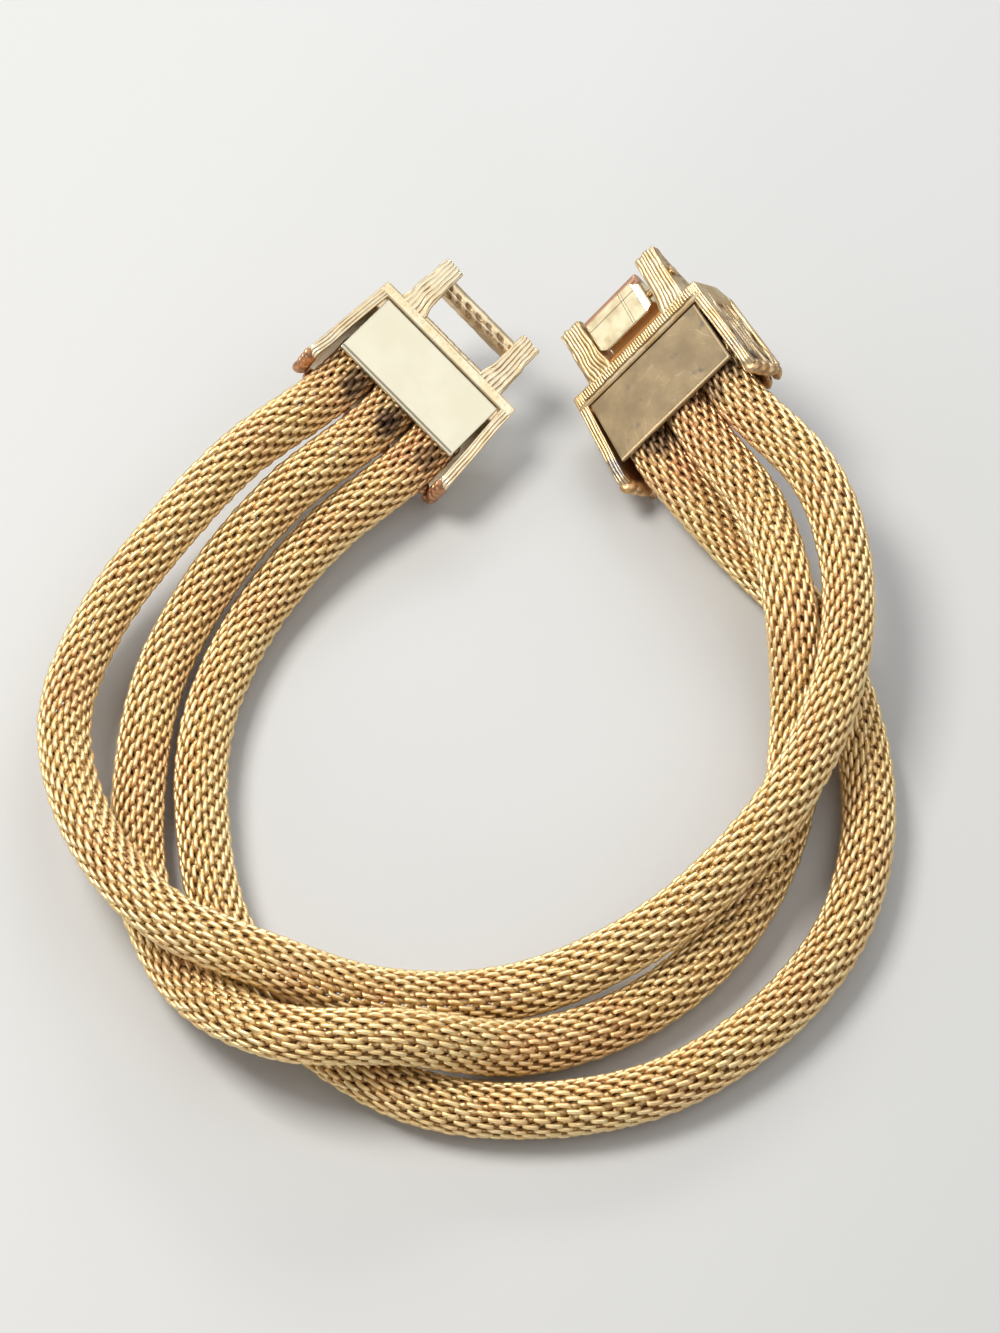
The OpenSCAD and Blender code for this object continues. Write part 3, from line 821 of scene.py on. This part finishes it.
def platePieces():
    v = plateValues
    left = plateForm(v["loopPlace"], v["loopSink"])
    edgeLine = np.exp(-((left.points[:, 1] - v["loopPlace"] - 0.32) / 0.07) ** 2)
    relief(left, -0.06 * edgeLine * (left.normals[:, 2] > 0.9))
    bench = Bench("palePlate")
    place = bench.mark("place", "Vector")
    cloud = bench.noise(place, 0.22, 3.0)
    fine = bench.noise(place, 5.0, 3.0)
    groove = (bench.mark("rise") * -1).between(0.01, 0.05)
    base = bench.mixed(cloud.between(0.35, 0.65), v["loopShade"], v["loopTone"])
    base = bench.mixed((groove * 0.7).held(), base, (0.40, 0.26, 0.12))
    pale = bench.metal(base, 0.26 + cloud * 0.14 + fine * 0.05, bench.bump(fine, 0.01, 0.4))
    makePiece("loop_backplate", left, pale, "bracelet", ["loop_plate"], turns["loop"],
              claspPlaces["loop"]["place"])
    right = plateForm(v["hookPlace"], v["hookSink"])
    right.points[:, 0] *= 1 + v["hookFlare"] * (clasp["depth"] - right.points[:, 1]) / clasp["depth"]
    lip = np.maximum(eased((v["hookPlace"] + 0.34 - right.points[:, 1]) / 0.1),
                     eased((right.points[:, 0] - v["width"] / 2 + 0.10) / 0.1))
    relief(right, 0.05 * lip * (right.normals[:, 2] > 0.9))
    bench = Bench("brownPlate")
    place = bench.mark("place", "Vector")
    cloud = bench.noise(place, 0.30, 4.0)
    stain = bench.noise(place, 0.55, 3.0).between(0.58, 0.74)
    fine = bench.noise(bench.stretched(place, (0.4, 3.0, 1.0)), 2.4, 4.0)
    lipMark = bench.mark("rise").between(0.015, 0.04)
    scratch = bench.add("ShaderNodeTexWave", {"wave_type": "RINGS", "rings_direction": "Z"},
                        {"Vector": place, "Scale": 0.32, "Distortion": 7.0, "Detail": 2.0}, "Fac")
    scratched = scratch.between(0.985, 1.0) * cloud.between(0.45, 0.6)
    base = bench.mixed(cloud.between(0.3, 0.7), v["hookShade"], v["hookTone"])
    base = bench.mixed((stain * 0.7).held(), base, v["hookStain"])
    base = bench.mixed((scratched * 0.5).held(), base, (0.7, 0.6, 0.42))
    base = bench.mixed(lipMark, base, (0.85, 0.66, 0.40))
    rough = 0.40 + cloud * 0.15 - lipMark * 0.15
    brown = bench.metal(base, rough, bench.bump(fine, 0.02, 0.35))
    makePiece("hook_backplate", right, brown, "bracelet", ["hook_plate"], turns["hook"],
              claspPlaces["hook"]["place"])


# The lever and its pin.
leverValues = {
    "width": 6.76, "middle": 0.06, "tail": 10.9, "nose": 14.4, "noseSize": 1.2, "sink": 0.15,
    "thickness": 0.4, "flange": 1.75, "bevel": 0.75,
    "pinMiddle": 0.35, "pinPlace": 12.6, "pinHeight": -1.05, "pinSize": 0.7,
    "tone": (0.86, 0.76, 0.52), "shade": (0.60, 0.47, 0.27), "copper": (0.72, 0.38, 0.25),
}


# A round bar along X: rows of "place along X, radius".
def turnedBar(rows, y, z, sides=28):
    turn = 2 * math.pi * np.arange(sides) / sides
    rings = [np.stack([np.full(sides, x), y + r * np.cos(turn), z + r * np.sin(turn)], -1) for x, r in rows]
    points = np.concatenate(rings + [[(rows[0][0], y, z), (rows[-1][0], y, z)]])
    i, k = np.meshgrid(np.arange(len(rows) - 1), np.arange(sides), indexing="ij")
    a, b = i * sides + k, i * sides + (k + 1) % sides
    quads = np.stack([a, a + sides, b + sides, b], -1).reshape(-1, 4)[:, ::-1]
    k = np.arange(sides)
    top = (len(rows) - 1) * sides
    first = np.stack([np.full(sides, len(points) - 2), (k + 1) % sides, k], -1)
    final = np.stack([np.full(sides, len(points) - 1), top + k, top + (k + 1) % sides], -1)
    form = Form(points, [quads, first, final], rise=0.0)
    middle = np.array([0, y, z]) + points * (1, 0, 0)
    form.normals = unit(points - middle + (1e-6, 0, 0))
    return form


def leverPieces():
    v = leverValues
    w = v["width"] / 2
    sheet = softBlock((-w, v["tail"], -v["sink"] - v["thickness"]), (w, v["nose"] + 0.1, -v["sink"]), 0.14,
                      (0.12, 0.12, 0.12))
    # the corners of the tail are cut off
    p = sheet.points
    corner = np.maximum(np.abs(p[:, 0]) - w + 0.75 + v["tail"] - p[:, 1], 0)
    sheet.points[:, 1] += 0.8 * corner
    parts = [sheet]
    for side in (-1, 1):
        x = side * (w - v["thickness"] / 2)
        flange = softBlock((x - v["thickness"] / 2, v["tail"] + 0.6, -v["sink"] - v["flange"]),
                           (x + v["thickness"] / 2, v["nose"], -v["sink"] - 0.05), 0.12, (0.1, 0.15, 0.12))
        q = flange.points
        depthHere = np.interp(q[:, 1], [v["tail"] + 0.6, v["tail"] + 1.0, 13.3, v["nose"]],
                              [v["flange"] / 2, v["flange"], v["flange"], v["noseSize"]])
        q[:, 2] = -v["sink"] + (q[:, 2] + v["sink"]) * depthHere / v["flange"]
        parts.append(flange)
    # the side with more play is a broad bevel
    for part in parts:
        q = part.points
        share = np.clip(1 + (q[:, 2] + v["sink"]) / v["flange"], 0, 1)
        q[:, 2] -= 0.42 * np.clip((q[:, 0] - w + v["bevel"]) / v["bevel"], 0, 1) * share
    r = v["noseSize"] / 2
    nose = turnedBar([(-w, r - 0.08), (-w + 0.08, r), (w - 0.08, r), (w, r - 0.08)], v["nose"],
                     -v["sink"] - r)
    nose.marks["copper"] = np.ones(len(nose.points))
    parts.append(nose)
    bench = Bench("leverMetal")
    place = bench.mark("place", "Vector")
    cloud = bench.noise(place, 0.35, 3.0)
    fine = bench.noise(place, 4.0, 3.0)
    copper = bench.mark("copper")
    x, y, z = [bench.add("ShaderNodeSeparateXYZ", {}, {"Vector": place}, k) for k in range(3)]
    # engraved lines: two that run to the nose, and one beside it
    lines = [bench.line(x - y * 0.05, 0.40, 0.035), bench.line(x - y * 0.05, 0.68, 0.03),
             bench.line(y, 13.55, 0.04)]
    groove = (lines[0] + lines[1] + lines[2]).held() * z.between(-0.30, -0.20)
    base = bench.mixed(cloud.between(0.4, 0.7), v["tone"], v["shade"])
    base = bench.mixed((copper * (0.6 + fine * 0.5)).held(), base, v["copper"])
    base = bench.mixed((groove * 0.85).held(), base, (0.25, 0.12, 0.05))
    dents = bench.bump(groove * -1, 0.04, 1.0, bench.bump(fine, 0.01, 0.5))
    metal = bench.metal(base, 0.20 + cloud * 0.12 + copper * 0.12, dents)
    makePiece("lever_sheet", joined(parts).moved((v["middle"], 0, 0)), metal, "lever", ["lever"],
              turns["hook"], claspPlaces["hook"]["place"])
    half = clasp["armSpan"] / 2
    dome = [(0.08, 0.50), (0.12, 0.47), (0.16, 0.36), (0.19, 0.18)]
    rows = [(-half - x, r) for x, r in dome[::-1]] + [(-half - 0.07, v["pinSize"] / 2)]
    rows += [(half + 0.07, v["pinSize"] / 2)] + [(half + x, r) for x, r in dome]
    pin = turnedBar(rows, v["pinPlace"], v["pinHeight"]).moved((v["pinMiddle"], 0, 0))
    bench = Bench("pinMetal")
    place = bench.mark("place", "Vector")
    fine = bench.noise(place, 3.0, 3.0)
    base = bench.mixed(fine.between(0.3, 0.7), (0.62, 0.40, 0.20), (0.80, 0.60, 0.34))
    metal = bench.metal(base, 0.3 + fine * 0.2, bench.bump(fine, 0.02, 0.4))
    makePiece("hinge_rivet", pin, metal, "bracelet", ["hinge_pin"], turns["hook"],
              claspPlaces["hook"]["place"])


loopPieces()
print("loop half cast")
hookPieces()
print("hook half cast")
platePieces()
leverPieces()
print("plates, lever and pin made")


def makeFloor():
    bench = Bench("paleTable")
    place = bench.add("ShaderNodeTexCoord", output="Object")
    tone = bench.noise(place, 6.0, 3.0)
    low = [v * 0.985 for v in studio["floorTone"]]
    base = bench.mixed(tone, low, studio["floorTone"])
    material = bench.metal(base, 0.55, metallic=0.0)
    mesh = bpy.data.meshes.new("floor")
    half = 3.0
    corners = [(-half, -half, 0), (half, -half, 0), (half, half, 0), (-half, half, 0)]
    mesh.from_pydata(corners, [], [(0, 1, 2, 3)])
    mesh.materials.append(material)
    floor = bpy.data.objects.new("floor", mesh)
    bpy.context.scene.collection.objects.link(floor)


makeFloor()
